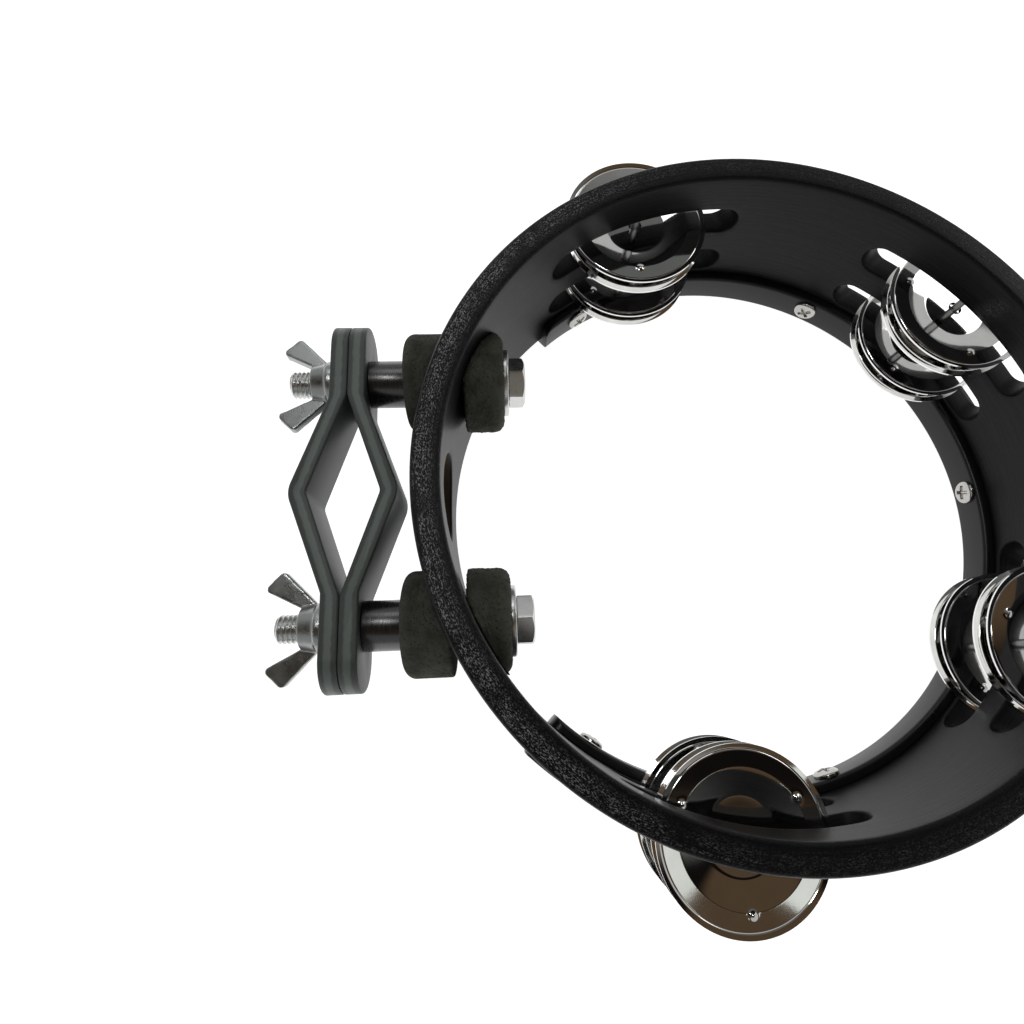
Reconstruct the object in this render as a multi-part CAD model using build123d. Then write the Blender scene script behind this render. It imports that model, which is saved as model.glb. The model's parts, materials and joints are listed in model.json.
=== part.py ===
"""Drum-kit tambourine: a slotted ring with jingles, carried by a two-bolt rod clamp.

Frame: origin on the axis of the clamped rod, where the two clamp plates meet, at the
height of the bolts. +Z runs along the rod and the ring's axis, +X from the rod to the
ring's centre. Millimetres.
"""
from build123d import *
import os
from math import atan2, cos, hypot, sin, sqrt, tan

# ring shell
ring_outer_radius = 100.0
ring_standoff = 20.0  # from the rod's axis to the nearest point of the ring
shell_wall = 7.9
shell_height = 52.0
bare_edge_above_bolts = 23.0
bare_edge_round = 1.2

# jingle stations: angles are about the ring's axis, counted from +X
station_count = 4
station_pitch_deg = 69.5
station_centre_deg = 3.8
slot_length = 66.0
slot_height = 10.0
slot_above_guard = 1.8  # from the guard's lip to the floor of the lower slots
slot_row_pitch = 18.7

# jingles and their pins
jingle_radius = 23.0
jingle_sheet = 0.6
jingle_bowl_depth = 2.25
jingle_bowl_radius = 17.0
jingle_crown_radius = 10.0
jingle_hole_radius = 2.2
jingle_rim_bead = 1.3
jingle_rim_lift = 0.35
jingle_seat_gap = 0.1
pin_radius = 1.2
pin_end_cover = 4.0
pin_fit_gap = 0.05

# thumb hole
thumb_hole_radius = 13.0

# rim guard
guard_start_deg = -134.0
guard_end_deg = 131.0
guard_lip = 3.2
guard_lip_height = 8.6
guard_base = 2.3
guard_gap = 0.1
guard_lip_round = 1.3
guard_end_round = 3.5
guard_screw_degs = (-125.3, -75.6, 3.0, 62.5, 121.8)
screw_head_radius = 3.9
screw_head_height = 1.7
screw_head_round = 1.2
screw_radius = 1.5
screw_length = 9.2
screw_cross_width = 1.1
screw_cross_length = 4.4
screw_cross_depth = 1.0
screw_seat_gap = 0.08

# clamp bolts, washers and wing nuts (M8)
bolt_spacing = 73.0
bolt_radius = 4.0
bolt_length = 65.0
bolt_hole_gap = 0.4
bolt_head_flats = 13.0
bolt_head_height = 5.0
bolt_head_chamfer = 0.8
bolt_tip_chamfer = 0.7
washer_radius = 10.0
washer_thickness = 1.6
nut_bore_gap = 0.08
nut_base_wall = 3.0  # walls are measured out from the thread
nut_base_height = 2.2
nut_hub_wall = 2.6
nut_hub_top_wall = 1.8
nut_height = 6.8
wing_thickness = 2.8
wing_span = 32.0
wing_rise = 17.0
wing_width = 7.5
wing_round = 1.3
wing_root_drop = 1.0  # from the hub's top to the wing's upper edge
wing_turn_a_deg = -5.0
wing_turn_b_deg = 5.0
nut_seat_gap = 0.05

# clamp plates
plate_thickness = 5.0
plate_width = 18.8
plate_end_beyond_bolt = 18.0
plate_gap = 0.1
vee_depth = 10.0
vee_bend_radius = 3.0
bend_to_nut_gap = 0.5

# foam bushings and spacer tubes
foam_radius = 14.8
foam_hole_gap = 0.3
foam_shell_gap = 0.1
outer_foam_wrap = 2.6  # how far each bushing laps round the wall, counted at the bolt
inner_foam_wrap = 1.9
inner_foam_thickness = 9.6
tube_length = 11.0
tube_bore_gap = 0.5
tube_wall = 2.5

# making
cut_overrun = 8.0  # how far a cut runs past the surface that it leaves
same_place = 0.01

# worked out from the sizes above
shell_top = bare_edge_above_bolts
shell_bottom = shell_top - shell_height
ring_centre_x = ring_outer_radius + ring_standoff
ring_inner_radius = ring_outer_radius - shell_wall
wall_mid_radius = ring_outer_radius - shell_wall / 2
bolt_ys = {"a": bolt_spacing / 2, "b": -bolt_spacing / 2}
ring_place = Pos(ring_centre_x, 0, 0)
first_station_deg = station_centre_deg - station_pitch_deg * (station_count - 1) / 2
station_degs = [first_station_deg + station_pitch_deg * i for i in range(station_count)]
lower_slot_floor = shell_bottom + guard_lip_height + slot_above_guard
slot_floors = {"upper": lower_slot_floor + slot_row_pitch, "lower": lower_slot_floor}
jingle_height = jingle_bowl_depth + jingle_sheet
nut_base_radius = bolt_radius + nut_base_wall
vee_half_length = bolt_spacing / 2 - nut_base_radius - bend_to_nut_gap
plate_length = bolt_spacing + 2 * plate_end_beyond_bolt
plate_face_x = plate_gap / 2 + plate_thickness
outer_foam_start_x = plate_face_x + tube_length
outer_wall_at_bolt = ring_centre_x - sqrt(ring_outer_radius**2 - (bolt_spacing / 2) ** 2)
inner_wall_at_bolt = ring_centre_x - sqrt(ring_inner_radius**2 - (bolt_spacing / 2) ** 2)
inner_foam_end_x = inner_wall_at_bolt + inner_foam_thickness
bolt_seat_x = inner_foam_end_x + washer_thickness
on_base = (Align.CENTER, Align.CENTER, Align.MIN)


def along_x(shape):
    """Turn a shape made along +Z so that it runs along +X."""
    return Rot(0, 90, 0) * shape


def rod_between(radius, x_from, x_to, y):
    """A round bar parallel to X between two stations, at bolt height."""
    bar = Cylinder(radius, x_to - x_from, align=on_base)
    return Pos(x_from, y, 0) * along_x(bar)


def radial(shape, angle_deg, radius, z):
    """Place a shape whose own +X points outwards at an angle on the ring."""
    return ring_place * Rot(0, 0, angle_deg) * Pos(radius, 0, z) * shape


def make_shell():
    ring = Cylinder(ring_outer_radius, shell_height) - Cylinder(ring_inner_radius, shell_height)
    ring = Pos(0, 0, (shell_top + shell_bottom) / 2) * ring
    top_edges = ring.edges().filter_by(GeomType.CIRCLE).group_by(Axis.Z)[-1]
    ring = ring_place * fillet(top_edges, bare_edge_round)
    slot = SlotOverall(slot_length, slot_height, rotation=90)
    slot = Rot(0, 90, 0) * extrude(slot, ring_outer_radius + cut_overrun)
    for angle in station_degs:
        for floor in slot_floors.values():
            ring -= radial(slot, angle, 0, floor + slot_height / 2)
        ring -= radial(pin_bar(pin_radius + pin_fit_gap), angle, wall_mid_radius, 0)
    ring -= rod_between(thumb_hole_radius, 0, ring_centre_x, 0)
    for y in bolt_ys.values():
        ring -= rod_between(bolt_radius + bolt_hole_gap, 0, ring_centre_x, y)
    for angle in guard_screw_degs:
        ring -= screw_shank(angle, screw_radius + pin_fit_gap)
    return ring


def pin_bar(radius):
    """A jingle pin, or the hole for it, from the guarded edge to above the top slot."""
    top = slot_floors["upper"] + slot_height + pin_end_cover
    bar = Cylinder(radius, top - shell_bottom, align=on_base)
    return Pos(0, 0, shell_bottom) * bar


def make_rim_guard():
    lip_top = shell_bottom + guard_lip_height
    inner = ring_inner_radius - guard_gap - guard_lip
    outer = ring_outer_radius + guard_gap + guard_lip
    width = outer - inner
    body = Pos((inner + outer) / 2, (lip_top + shell_bottom - guard_base) / 2) * Rectangle(
        width, lip_top - shell_bottom + guard_base
    )
    channel = Pos((inner + outer) / 2, (lip_top + shell_bottom) / 2) * Rectangle(
        width - 2 * guard_lip, lip_top - shell_bottom
    )
    profile = body - channel
    rounded = [
        v for v in profile.vertices() if min(abs(v.X - inner), abs(v.X - outer)) < same_place
    ]
    profile = fillet(rounded, guard_lip_round)
    arc = guard_end_deg - guard_start_deg
    guard = revolve(Plane.XZ * profile, Axis.Z, arc)
    guard = Rot(0, 0, guard_start_deg) * guard
    for angle, side in ((guard_start_deg, -1), (guard_end_deg, 1)):
        guard -= guard_end_cut(angle, side, inner, outer)
    guard = ring_place * guard
    for angle in guard_screw_degs:
        guard -= screw_shank(angle, screw_radius + pin_fit_gap)
    return guard


def guard_end_cut(angle, side, inner, outer):
    """What the rounded end of the guard leaves off its upper corners."""
    radius = min(guard_end_round, guard_lip_height / 2)
    width = outer - inner + 2 * cut_overrun
    block = Box(width, 2 * radius, 2 * radius)
    block -= Pos(0, -side * radius, -radius) * along_x(Cylinder(radius, width))
    place = Rot(0, 0, angle) * Pos((inner + outer) / 2, 0, shell_bottom + guard_lip_height)
    return place * block


def screw_shank(angle, radius):
    start = screw_seat_radius()
    bar = Cylinder(radius, screw_length, align=on_base)
    return radial(along_x(bar), angle, start, shell_bottom + guard_lip_height / 2)


def screw_seat_radius():
    """Where a flat head meets the curved inside of the guard's lip."""
    lip_inside = ring_inner_radius - guard_gap - guard_lip
    return sqrt(lip_inside**2 - screw_head_radius**2) - screw_seat_gap


def make_guard_screws():
    head = Cylinder(screw_head_radius, screw_head_height, align=on_base)
    head = fillet(head.edges().group_by(Axis.Z)[-1], screw_head_round)
    for turn in (0, 90):
        bar = Box(screw_cross_length, screw_cross_width, screw_cross_depth)
        head -= Pos(0, 0, screw_head_height - screw_cross_depth / 2) * Rot(0, 0, turn) * bar
    head = Rot(0, -90, 0) * head
    height = shell_bottom + guard_lip_height / 2
    return [
        radial(head, angle, screw_seat_radius(), height) + screw_shank(angle, screw_radius)
        for angle in guard_screw_degs
    ]


def jingle_disc():
    """One disc, crown down: flat crown, coned bowl, band and a turned-up rim bead."""
    depth = jingle_bowl_depth
    bead_start = jingle_radius - jingle_rim_bead
    band_z = depth - jingle_rim_lift

    def sheet_line(lift):
        crown = Line((jingle_hole_radius, lift), (jingle_crown_radius, lift))
        bowl = Line((jingle_crown_radius, lift), (jingle_bowl_radius, band_z + lift))
        band = Line((jingle_bowl_radius, band_z + lift), (bead_start, band_z + lift))
        bead = Line((bead_start, band_z + lift), (jingle_radius, depth + lift))
        return [crown, bowl, band, bead]

    closing = [
        Line((jingle_radius, depth), (jingle_radius, depth + jingle_sheet)),
        Line((jingle_hole_radius, 0), (jingle_hole_radius, jingle_sheet)),
    ]
    outline = make_face(sheet_line(0) + sheet_line(jingle_sheet) + closing)
    return revolve(Plane.XZ * outline, Axis.Z)


def place_jingles():
    """Each slot holds two discs, crowns together, the lower one on the slot's floor."""
    disc = jingle_disc()
    turned = Rot(180, 0, 0) * disc
    placed = {}
    for number, angle in enumerate(station_degs, start=1):
        for row, floor in slot_floors.items():
            crown = floor + jingle_seat_gap + jingle_height
            name = f"jingle_{number}_{row}"
            placed[f"{name}_bottom"] = radial(turned, angle, wall_mid_radius, crown)
            placed[f"{name}_top"] = radial(disc, angle, wall_mid_radius, crown + jingle_seat_gap)
    return placed


def make_plate():
    """The plate on the ring's side: flat tongues and a V that opens towards +X."""
    half = plate_length / 2
    lean = atan2(vee_depth, vee_half_length)
    bend_shift = plate_thickness * tan(lean / 2)
    apex_x = vee_depth + plate_thickness / cos(lean)
    near = [(0, -vee_half_length), (vee_depth, 0), (0, vee_half_length)]
    far_half = vee_half_length - bend_shift
    far = [(plate_thickness, far_half), (apex_x, 0), (plate_thickness, -far_half)]
    corners = [(0, -half), *near, (0, half), (plate_thickness, half), *far, (plate_thickness, -half)]
    outline = make_face(Polyline(*corners, close=True))

    def vertices_at(points):
        return [v for v in outline.vertices() for x, y in points if hypot(v.X - x, v.Y - y) < same_place]

    outer_radius = vee_bend_radius + plate_thickness
    outer_bends = [near[0], near[2], far[1]]
    inner_bends = [near[1], far[0], far[2]]
    outline = fillet(vertices_at(outer_bends), outer_radius)
    outline = fillet(vertices_at(inner_bends), vee_bend_radius)
    strip = Pos(0, 0, -plate_width / 2) * extrude(outline, plate_width)
    reach = apex_x + cut_overrun
    stadium = Rot(0, 90, 0) * extrude(SlotOverall(plate_length, plate_width, rotation=90), 2 * reach)
    strip &= Pos(-reach, 0, 0) * stadium
    for y in bolt_ys.values():
        strip -= rod_between(bolt_radius + bolt_hole_gap, -reach, reach, y)
    return Pos(plate_gap / 2, 0, 0) * strip


def make_bolt(y):
    head = extrude(RegularPolygon(bolt_head_flats / 2, 6, major_radius=False), bolt_head_height)
    dome = Cylinder(bolt_head_flats / sqrt(3), bolt_head_height, align=on_base)
    dome = chamfer(dome.edges().group_by(Axis.Z)[-1], bolt_head_chamfer)
    head = Pos(bolt_seat_x, y, 0) * along_x(head & dome)
    shank = Cylinder(bolt_radius, bolt_length, align=on_base)
    shank = chamfer(shank.edges().group_by(Axis.Z)[0], bolt_tip_chamfer)
    return head + Pos(bolt_seat_x - bolt_length, y, 0) * along_x(shank)


def make_washer(y):
    ring = rod_between(washer_radius, inner_foam_end_x, bolt_seat_x, y)
    return ring - rod_between(bolt_radius + bolt_hole_gap, 0, ring_centre_x, y)


def make_outer_bushing(y):
    foam = rod_between(foam_radius, outer_foam_start_x, outer_wall_at_bolt + outer_foam_wrap, y)
    foam -= rod_between(bolt_radius + foam_hole_gap, 0, ring_centre_x, y)
    return foam - ring_place * Cylinder(ring_outer_radius + foam_shell_gap, 2 * foam_radius)


def make_inner_bushing(y):
    foam = rod_between(foam_radius, inner_wall_at_bolt - inner_foam_wrap, inner_foam_end_x, y)
    foam -= rod_between(bolt_radius + foam_hole_gap, 0, ring_centre_x, y)
    return foam & ring_place * Cylinder(ring_inner_radius - foam_shell_gap, 2 * foam_radius)


def make_spacer_tube(y):
    bore = bolt_radius + tube_bore_gap
    tube = rod_between(bore + tube_wall, plate_face_x, outer_foam_start_x, y)
    return tube - rod_between(bore, 0, ring_centre_x, y)


def make_wing_nut(y, turn_deg):
    """Hub with a round base and two wings that lean outwards, along +Z before placing."""
    base = Cylinder(nut_base_radius, nut_base_height, align=on_base)
    hub_top_radius = bolt_radius + nut_hub_top_wall
    hub = Cone(bolt_radius + nut_hub_wall, hub_top_radius, nut_height - nut_base_height, align=on_base)
    nut = base + Pos(0, 0, nut_base_height) * hub
    root = (bolt_radius + nut_bore_gap + hub_top_radius) / 2
    tip = wing_span / 2
    lean = atan2(wing_rise - nut_base_height - wing_width / 2, tip - root)
    outline = make_face(
        Polyline(
            (root, nut_base_height / 2),
            (tip, wing_rise - wing_width * cos(lean)),
            (tip - wing_width * sin(lean), wing_rise),
            (root, nut_height - wing_root_drop),
            close=True,
        )
    )
    tips = outline.vertices().group_by(Axis.X)[-1] + outline.vertices().group_by(Axis.Y)[-1]
    outline = fillet(tips, wing_round)
    wing = Plane.XZ * extrude(outline, wing_thickness / 2, both=True)
    nut += wing + Rot(0, 0, 180) * wing
    nut -= Cylinder(bolt_radius + nut_bore_gap, 2 * (nut_height + cut_overrun))
    facing_out = Rot(0, 0, 90) * Rot(90, 0, 0) * Rot(0, 180, 0)
    return Pos(-plate_face_x - nut_seat_gap, y, 0) * Rot(turn_deg, 0, 0) * facing_out * nut


def build_parts():
    parts = {
        "shell": make_shell(),
        "rim_guard": make_rim_guard(),
        "guard_screws": make_guard_screws(),
        "clamp_plate_inner": make_plate(),
        "clamp_plate_outer": mirror(make_plate(), Plane.YZ),
    }
    pin = pin_bar(pin_radius)
    for number, angle in enumerate(station_degs, start=1):
        parts[f"jingle_pin_{number}"] = radial(pin, angle, wall_mid_radius, 0)
    parts.update(place_jingles())
    turns = {"a": wing_turn_a_deg, "b": wing_turn_b_deg}
    for side, y in bolt_ys.items():
        parts[f"clamp_bolt_{side}"] = make_bolt(y)
        parts[f"washer_{side}"] = make_washer(y)
        parts[f"inner_bushing_{side}"] = make_inner_bushing(y)
        parts[f"outer_bushing_{side}"] = make_outer_bushing(y)
        parts[f"spacer_tube_{side}"] = make_spacer_tube(y)
        parts[f"wing_nut_{side}"] = make_wing_nut(y, turns[side])
    return parts


def export_parts(parts):
    os.makedirs("parts", exist_ok=True)
    for name, shape in parts.items():
        if isinstance(shape, list):
            shape = Compound(children=shape)
        export_step(shape, f"parts/{name}.step")


export_parts(build_parts())
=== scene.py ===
"""Finishes and fine shapes for a clamp-on tambourine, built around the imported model.

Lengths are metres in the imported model's frame: origin on the clamped rod's axis at bolt
height, +Z along the ring's axis towards the bare edge, +X from the rod to the ring.
"""
import json
import math

import bmesh
import bpy
import numpy as np
from bpy.props import FloatProperty, FloatVectorProperty, PointerProperty
from mathutils import Matrix, Vector, noise
from mathutils.geometry import delaunay_2d_cdt


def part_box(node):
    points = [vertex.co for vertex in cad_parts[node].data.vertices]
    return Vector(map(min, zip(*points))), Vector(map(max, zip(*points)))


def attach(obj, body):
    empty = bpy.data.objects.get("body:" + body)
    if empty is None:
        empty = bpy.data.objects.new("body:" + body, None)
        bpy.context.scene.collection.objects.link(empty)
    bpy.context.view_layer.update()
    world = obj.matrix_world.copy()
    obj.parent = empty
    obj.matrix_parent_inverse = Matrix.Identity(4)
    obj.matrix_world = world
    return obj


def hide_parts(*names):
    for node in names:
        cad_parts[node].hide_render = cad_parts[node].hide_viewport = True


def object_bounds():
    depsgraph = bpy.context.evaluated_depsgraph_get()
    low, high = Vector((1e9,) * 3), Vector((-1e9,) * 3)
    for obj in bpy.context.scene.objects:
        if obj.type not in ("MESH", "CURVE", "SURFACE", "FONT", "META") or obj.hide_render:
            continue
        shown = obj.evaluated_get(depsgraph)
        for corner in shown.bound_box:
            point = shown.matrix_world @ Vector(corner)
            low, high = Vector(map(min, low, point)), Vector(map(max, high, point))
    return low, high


bl_info = {
    "name": "Clamp-on tambourine finishes",
    "version": (1, 0, 0),
    "blender": (4, 5, 0),
    "location": "3D View > Sidebar > Tambourine",
    "description": "Builds the visible pieces, finishes and studio of a clamp-on tambourine",
    "category": "Object",
}

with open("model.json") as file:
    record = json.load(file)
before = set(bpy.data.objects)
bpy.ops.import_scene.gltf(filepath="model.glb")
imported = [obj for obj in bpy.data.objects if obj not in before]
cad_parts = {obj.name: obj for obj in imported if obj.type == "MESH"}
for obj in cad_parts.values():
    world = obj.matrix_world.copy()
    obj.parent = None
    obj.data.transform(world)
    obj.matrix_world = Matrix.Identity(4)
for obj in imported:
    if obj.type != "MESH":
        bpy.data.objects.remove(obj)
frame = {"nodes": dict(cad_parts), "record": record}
CAD_BOX = [list(corner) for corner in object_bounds()]
MM = 0.001
ROWS = ("upper", "lower")
SIDES = ("a", "b")
SAME_POINT = 1e-7
NO_LENGTH = 1e-8
SEAM_REACH = 2e-5  # joins the ring's walls, edges and openings
RING_COLUMNS = 288  # steps round the ring, shared by its walls and edges so that they join
GAUSS_REACH = 1.8 * MM  # how far from its middle a nub still lifts the sheet
NUB_STEP = 0.32 * MM  # mesh step across a nub
SHEET_STEP = 1.6 * MM  # mesh step along the rest of a disc's section
JINGLE_COLUMNS = 132  # even steps round a disc, before the closer ones at its nubs
NUB_COLUMN = 0.3 * MM  # width of those closer steps
GUARD_COLUMNS = 420
BOLT_COLUMNS = 96
LATHE_COLUMNS = 128
FOAM_COLUMNS = 340
NUB_REACH = 6.5  # how many closer steps to each side of a nub take the place of the even ones
LOW_NUB_SHARE = 0.65  # height of a bottom disc's nubs, of a top disc's
RIM_GROOVE = 0.35 * MM
THREAD_STEPS = 14  # mesh steps in one turn of thread
THREAD_CREST = 0.12  # share of the pitch left flat at the crest
THREAD_FLANK = 0.76
TIP_CHAMFER = 0.8 * MM
HEX_CHAMFER_START = 0.93  # of the distance across half the flats
HEX_CORNER = 0.992  # of a sharp hexagon's corner
HEX_FACE_EDGE = 0.97  # of the distance across half the flats, at the seat
HEX_SLOPE = math.tan(math.radians(30))
HEX_SEAT_STEP = 0.25 * MM
NUT_VOXEL = 0.28 * MM
PLATE_BEVEL = 0.55 * MM
TOOL_REACH = 60 * MM  # how far a cutting bar runs to each side
FOAM_WALL_ROUND = 0.8 * MM  # the corner pressed against the ring
FOAM_WALL_GAP = 0.1 * MM
PORE_START = 0.12  # the noise above which a pore opens
PORE_GAIN = 1.6
SAG_SIZE = 8 * MM
SAG_DEPTH = 0.12 * MM
GUARD_INNER_ROUND = 0.3 * MM
FLOOR_REACH = 6.0
CROSS_HALF_WIDTH = 0.55 * MM  # the cross recess in a screw's head
CROSS_REACH = 2.2 * MM
CROSS_DEPTH = 0.9 * MM
CROSS_SLOPE = 0.25 * MM

# the camera: millimetres in the model's frame, and its own right and backward directions
CAMERA_LENS = 21.09
CAMERA_SHIFT = (-0.0315, 0.0147)
CAMERA_PLACE = (43.24, -52.29, 169.90)
CAMERA_RIGHT = (0.9970, -0.0458, 0.0617)
CAMERA_BACK = (-0.0710, -0.2422, 0.9676)


# ---------------------------------------------------------------- sizes read from the frame
def middle(node):
    low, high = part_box(node)
    return (low + high) / 2


def spread(node):
    low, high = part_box(node)
    return high - low


STATIONS = sorted(int(n.rsplit("_", 1)[1]) for n in frame["nodes"] if n.startswith("jingle_pin_"))
RING_AXIS = Vector((middle("shell").x, 0, 0))
RING_OUTER = spread("shell").x / 2
RING_MID = (middle(f"jingle_pin_{STATIONS[0]}").xy - RING_AXIS.xy).length
RING_INNER = 2 * RING_MID - RING_OUTER
SHELL_LOW, SHELL_HIGH = (corner.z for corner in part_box("shell"))
JINGLE_RADIUS = spread(f"jingle_{STATIONS[0]}_upper_top").x / 2
JINGLE_DEPTH = spread(f"jingle_{STATIONS[0]}_upper_top").z
BOLT_Y = {side: middle(f"clamp_bolt_{side}").y for side in SIDES}


def station_angle(number):
    out = middle(f"jingle_pin_{number}") - RING_AXIS
    return math.atan2(out.y, out.x)


# ---------------------------------------------------------------- sizes and colours to change
def size_in_mm(name, description, millimetres):
    return FloatProperty(name=name, description=description, default=millimetres * MM, unit="LENGTH")


def paint(name, description, values):
    return FloatVectorProperty(name=name, description=description, size=3, subtype="COLOR", default=values)


class TambourineSizes(bpy.types.PropertyGroup):
    """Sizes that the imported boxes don't hold"""

    slot_length: size_in_mm("Slot length", "Across the round ends", 66)
    slot_height: size_in_mm("Slot height", "Along the ring's axis", 10)
    slot_edge: size_in_mm("Slot edge", "Sanded edge of each opening", 0.5)
    seat_gap: size_in_mm("Seat gap", "Under the resting disc", 0.1)
    thumb_radius: size_in_mm("Thumb hole radius", "At the clamp", 13)
    bolt_radius: size_in_mm("Bolt radius", "Over the thread", 4)
    bolt_hole: size_in_mm("Bolt hole radius", "Through the wall", 4.4)
    edge_round: size_in_mm("Edge round", "Bare edge corners", 1.2)
    guard_lip: size_in_mm("Guard lip", "Thickness of each lip", 3.2)
    guard_round: size_in_mm("Guard round", "Outer corners", 1.3)
    guard_end: size_in_mm("Guard end round", "Side view", 3.5)
    sheet: size_in_mm("Jingle sheet", "Thickness", 0.6)
    crown: size_in_mm("Jingle crown radius", "Flat middle", 10)
    bowl: size_in_mm("Jingle bowl radius", "Where the band starts", 17)
    rim_lift: size_in_mm("Rim lift", "Bead above the band", 0.35)
    jingle_hole: size_in_mm("Jingle hole", "Radius round the pin", 2.2)
    crown_bend: size_in_mm("Crown bend", "Radius of the press line", 4.5)
    bowl_bend: size_in_mm("Bowl bend", "Radius of the press line", 0.9)
    rim_roll: size_in_mm("Rim roll", "Width of the turned rim", 1.25)
    nub_circle: size_in_mm("Nub circle", "Radius that the nubs lie on", 17.6)
    nub_width: size_in_mm("Nub width", "Across each stop", 0.8)
    nub_height: size_in_mm("Nub height", "Raised stop", 0.6)
    plate_thickness: size_in_mm("Plate thickness", "Stamped steel", 5)
    vee_depth: size_in_mm("V depth", "Of each plate", 10)
    vee_half: size_in_mm("V half length", "Along the plate", 29)
    vee_bend: size_in_mm("V bend radius", "Inside of each bend", 3)
    thread_pitch: size_in_mm("Thread pitch", "Coarse M8", 1.25)
    thread_depth: size_in_mm("Thread depth", "Crest to root", 0.62)
    thread_reach: size_in_mm("Thread length", "From the tip", 22)
    foam_round: size_in_mm("Foam round", "Free corners", 3.2)
    foam_pore: size_in_mm("Foam pore", "Typical pore width", 0.9)
    foam_pit: size_in_mm("Foam pit", "Depth of a pore", 0.28)
    foam_bore: size_in_mm("Foam bore", "Radius round the bolt", 4.3)
    tube_wall: size_in_mm("Tube wall", "Spacer tubes", 2.5)
    screw_head: size_in_mm("Screw head", "Height above the lip", 1.7)


class TambourineColours(bpy.types.PropertyGroup):
    """Base colours, linear"""

    wood: paint("Stained wood", "Walls", (0.0045, 0.0048, 0.0053))
    # edge flecks: partly worn fibres, partly painted glints
    fleck: paint("Edge flecks", "Worn fibres", (0.27, 0.275, 0.285))
    raw: paint("Raw wood", "Thumb hole's cut wall", (0.12, 0.075, 0.040))
    guard: paint("Guard plastic", "Rim guard", (0.0045, 0.0047, 0.0050))
    plate: paint("Painted steel", "Clamp plates", (0.058, 0.070, 0.064))
    foam: paint("Foam", "Bushings", (0.062, 0.063, 0.052))
    tube: paint("Tube", "Spacer tubes", (0.004, 0.004, 0.0045))
    chrome: paint("Chrome", "Jingles", (0.80, 0.80, 0.79))
    zinc: paint("Zinc", "Bolts and washers", (0.62, 0.63, 0.62))
    cast: paint("Cast zinc", "Wing nuts", (0.34, 0.355, 0.35))
    nickel: paint("Nickel", "Guard screws", (0.46, 0.45, 0.43))


# ---------------------------------------------------------------- shader helpers
def node(tree, kind, inputs=None, **settings):
    made = tree.nodes.new(kind)
    for key, value in settings.items():
        setattr(made, key, value)
    for key, value in (inputs or {}).items():
        if isinstance(value, bpy.types.NodeSocket):
            tree.links.new(value, made.inputs[key])
        else:
            made.inputs[key].default_value = value
    return made


def calc(tree, operation, first, second=0.0, third=0.0):
    return node(tree, "ShaderNodeMath", {0: first, 1: second, 2: third}, operation=operation).outputs[0]


def times(tree, first, second):
    return calc(tree, "MULTIPLY", first, second)


def plus(tree, first, second):
    return calc(tree, "ADD", first, second)


def minus(tree, first, second):
    return calc(tree, "SUBTRACT", first, second)


def inverse(tree, value):
    """1 where the value is 0, and 0 where it is 1."""
    return calc(tree, "SUBTRACT", 1.0, value)


def ranged(tree, value, low, high):
    """The value from 0 to 1, spread evenly from low to high."""
    return node(tree, "ShaderNodeMapRange", {"Value": value, "To Min": low, "To Max": high}).outputs[0]


def vector_calc(tree, operation, first, second=(0, 0, 0)):
    return node(tree, "ShaderNodeVectorMath", {0: first, 1: second}, operation=operation).outputs[0]


def length_of(tree, first, second):
    """Length of the flat vector with these two components."""
    flat = node(tree, "ShaderNodeCombineXYZ", {0: first, 1: second}).outputs[0]
    return node(tree, "ShaderNodeVectorMath", {0: flat}, operation="LENGTH").outputs["Value"]


def between(tree, value, low, high):
    """0 below low, 1 above high, and smooth from one to the other."""
    made = node(tree, "ShaderNodeMapRange", {"Value": value, "From Min": low, "From Max": high},
                interpolation_type="SMOOTHSTEP")
    return made.outputs["Result"]


def mixed(tree, factor, first, second):
    made = node(tree, "ShaderNodeMix", data_type="RGBA")
    for index, value in ((0, factor), (6, first), (7, second)):
        if isinstance(value, bpy.types.NodeSocket):
            tree.links.new(value, made.inputs[index])
        else:
            made.inputs[index].default_value = value
    return made.outputs[2]


def colour(values, gain=1.0):
    return (*(min(1.0, v * gain) for v in values), 1.0)


def new_finish(name, metallic=0.0, roughness=0.5, specular=0.5):
    material = bpy.data.materials.new(name)
    material.use_nodes = True
    shader = material.node_tree.nodes["Principled BSDF"]
    shader.inputs["Metallic"].default_value = metallic
    shader.inputs["Roughness"].default_value = roughness
    shader.inputs["Specular IOR Level"].default_value = specular
    return material, material.node_tree, shader


def wire_up(tree, shader, base, rough):
    tree.links.new(base, shader.inputs["Base Color"])
    tree.links.new(rough, shader.inputs["Roughness"])


def add_bump(tree, shader, height, strength, distance):
    made = node(tree, "ShaderNodeBump", {"Height": height, "Strength": strength, "Distance": distance})
    tree.links.new(made.outputs[0], shader.inputs["Normal"])


def place(tree, offset=(0, 0, 0)):
    coordinates = node(tree, "ShaderNodeTexCoord").outputs["Object"]
    return node(tree, "ShaderNodeMapping", {"Vector": coordinates, "Location": offset}).outputs[0]


def grain(tree, vector, size, detail=3.0, w=None, roughness=0.55):
    inputs = {"Vector": vector, "Scale": 1 / size, "Detail": detail, "Roughness": roughness}
    if w is not None:
        inputs["W"] = w
    return node(tree, "ShaderNodeTexNoise", inputs, noise_dimensions="3D" if w is None else "4D").outputs[0]


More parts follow.
